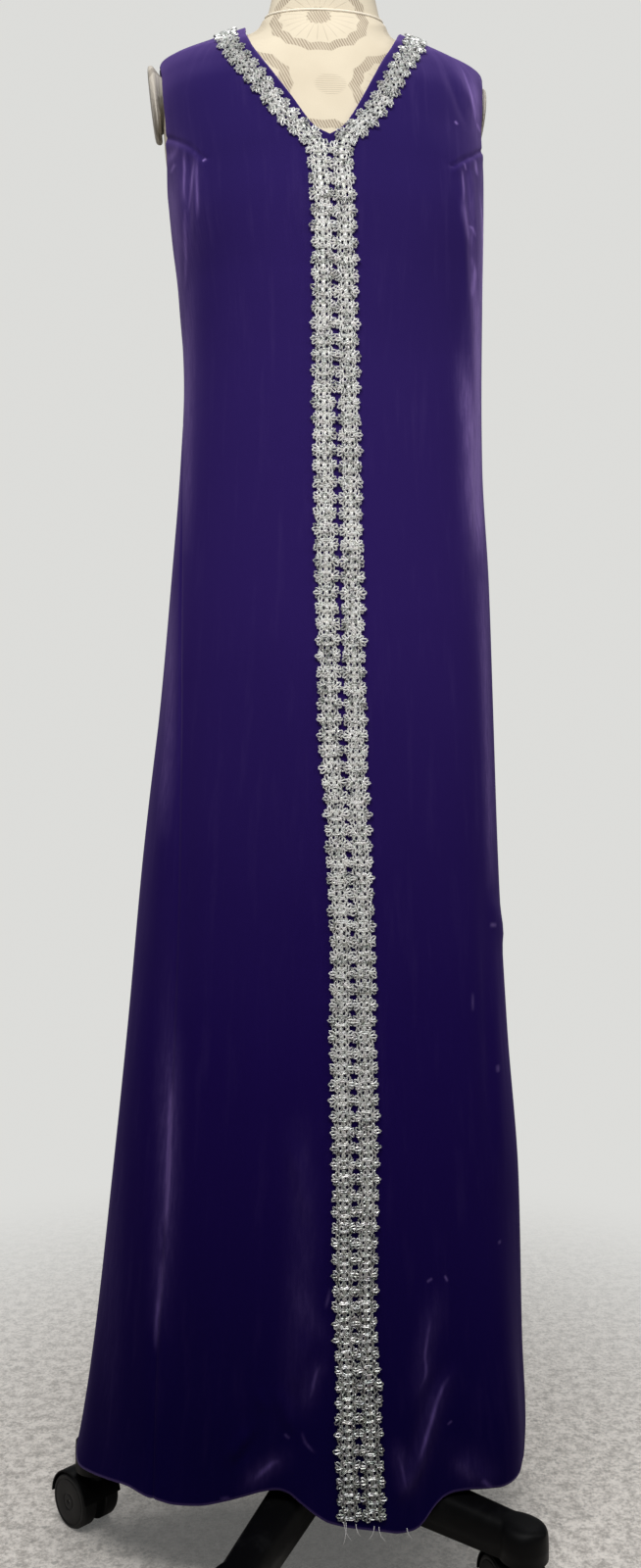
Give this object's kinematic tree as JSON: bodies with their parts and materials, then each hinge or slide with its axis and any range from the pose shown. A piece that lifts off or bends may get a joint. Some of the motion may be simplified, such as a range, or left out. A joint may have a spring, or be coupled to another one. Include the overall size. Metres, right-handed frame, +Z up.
{
  "type": "sleeveless caftan gown on a dress form",
  "caption": "Long sleeveless V-neck velvet gown with flower braid down the front, standing on a limbless dress form with a castor base.",
  "frame": {"origin": "centre of the bounding box at floor level, under the castor wheels", "axes": "+Z up from the floor; -Y is the front of the gown; +X is the viewer's right when facing the front"},
  "size_m": [0.4839, 0.4779, 1.555],
  "materials": {
    "velvet": "deep purple pile velvet with a soft sheen at the edges",
    "silver_braid": "crocheted metallic silver thread, sparkling",
    "form_cover": "cream cotton jersey printed in taupe",
    "steel": "brushed",
    "black_plastic": "satin black",
    "wheel_plastic": "dark grey, slightly scuffed"
  },
  "bodies": {
    "stand_and_gown": {"gown_front": "velvet", "gown_back": "velvet", "braid_left": "silver_braid", "braid_right": "silver_braid", "braid_back_neck": "silver_braid", "form_torso": "form_cover", "form_neck": "form_cover", "neck_cap": "steel", "arm_plate_left": "form_cover", "arm_plate_right": "form_cover", "pole": "steel", "base_star": "black_plastic"},
    "castor_1": {"castor_1_hood": "black_plastic"},
    "castor_1_wheel_a": {"castor_1_wheel_a": "wheel_plastic"},
    "castor_1_wheel_b": {"castor_1_wheel_b": "wheel_plastic"},
    "castor_2": {"castor_2_hood": "black_plastic"},
    "castor_2_wheel_a": {"castor_2_wheel_a": "wheel_plastic"},
    "castor_2_wheel_b": {"castor_2_wheel_b": "wheel_plastic"},
    "castor_3": {"castor_3_hood": "black_plastic"},
    "castor_3_wheel_a": {"castor_3_wheel_a": "wheel_plastic"},
    "castor_3_wheel_b": {"castor_3_wheel_b": "wheel_plastic"},
    "castor_4": {"castor_4_hood": "black_plastic"},
    "castor_4_wheel_a": {"castor_4_wheel_a": "wheel_plastic"},
    "castor_4_wheel_b": {"castor_4_wheel_b": "wheel_plastic"},
    "castor_5": {"castor_5_hood": "black_plastic"},
    "castor_5_wheel_a": {"castor_5_wheel_a": "wheel_plastic"},
    "castor_5_wheel_b": {"castor_5_wheel_b": "wheel_plastic"}
  },
  "joints": [
    {"name": "castor_1_swivel", "type": "hinge", "parent": "stand_and_gown", "child": "castor_1", "pos_m": [-0.19372, 0.02475, 0.082], "axis": [0, 0, 1], "continuous": true},
    {"name": "castor_1_wheel_a_spin", "type": "hinge", "parent": "castor_1", "child": "castor_1_wheel_a", "pos_m": [-0.20689, 0.03979, 0.0255], "axis": [0.7524, 0.6587, 0], "continuous": true},
    {"name": "castor_1_wheel_b_spin", "type": "hinge", "parent": "castor_1", "child": "castor_1_wheel_b", "pos_m": [-0.20689, 0.03979, 0.0255], "axis": [0.7524, 0.6587, 0], "continuous": true},
    {"name": "castor_2_swivel", "type": "hinge", "parent": "stand_and_gown", "child": "castor_2", "pos_m": [-0.06481, -0.20217, 0.082], "axis": [0, 0, 1], "continuous": true},
    {"name": "castor_2_wheel_a_spin", "type": "hinge", "parent": "castor_2", "child": "castor_2_wheel_a", "pos_m": [-0.0836, -0.20901, 0.0255], "axis": [-0.342, 0.9397, 0], "continuous": true},
    {"name": "castor_2_wheel_b_spin", "type": "hinge", "parent": "castor_2", "child": "castor_2_wheel_b", "pos_m": [-0.0836, -0.20901, 0.0255], "axis": [-0.342, 0.9397, 0], "continuous": true},
    {"name": "castor_3_swivel", "type": "hinge", "parent": "stand_and_gown", "child": "castor_3", "pos_m": [0.19084, -0.14969, 0.082], "axis": [0, 0, 1], "continuous": true},
    {"name": "castor_3_wheel_a_spin", "type": "hinge", "parent": "castor_3", "child": "castor_3_wheel_a", "pos_m": [0.18566, -0.13038, 0.0255], "axis": [0.9659, 0.2588, 0], "continuous": true},
    {"name": "castor_3_wheel_b_spin", "type": "hinge", "parent": "castor_3", "child": "castor_3_wheel_b", "pos_m": [0.18566, -0.13038, 0.0255], "axis": [0.9659, 0.2588, 0], "continuous": true},
    {"name": "castor_4_swivel", "type": "hinge", "parent": "stand_and_gown", "child": "castor_4", "pos_m": [0.21993, 0.10966, 0.082], "axis": [0, 0, 1], "continuous": true},
    {"name": "castor_4_wheel_a_spin", "type": "hinge", "parent": "castor_4", "child": "castor_4_wheel_a", "pos_m": [0.20113, 0.1165, 0.0255], "axis": [0.342, 0.9397, 0], "continuous": true},
    {"name": "castor_4_wheel_b_spin", "type": "hinge", "parent": "castor_4", "child": "castor_4_wheel_b", "pos_m": [0.20113, 0.1165, 0.0255], "axis": [0.342, 0.9397, 0], "continuous": true},
    {"name": "castor_5_swivel", "type": "hinge", "parent": "stand_and_gown", "child": "castor_5", "pos_m": [-0.01774, 0.21747, 0.082], "axis": [0, 0, 1], "continuous": true},
    {"name": "castor_5_wheel_a_spin", "type": "hinge", "parent": "castor_5", "child": "castor_5_wheel_a", "pos_m": [-0.01256, 0.19815, 0.0255], "axis": [-0.9659, -0.2588, 0], "continuous": true},
    {"name": "castor_5_wheel_b_spin", "type": "hinge", "parent": "castor_5", "child": "castor_5_wheel_b", "pos_m": [-0.01256, 0.19815, 0.0255], "axis": [-0.9659, -0.2588, 0], "continuous": true}
  ]
}
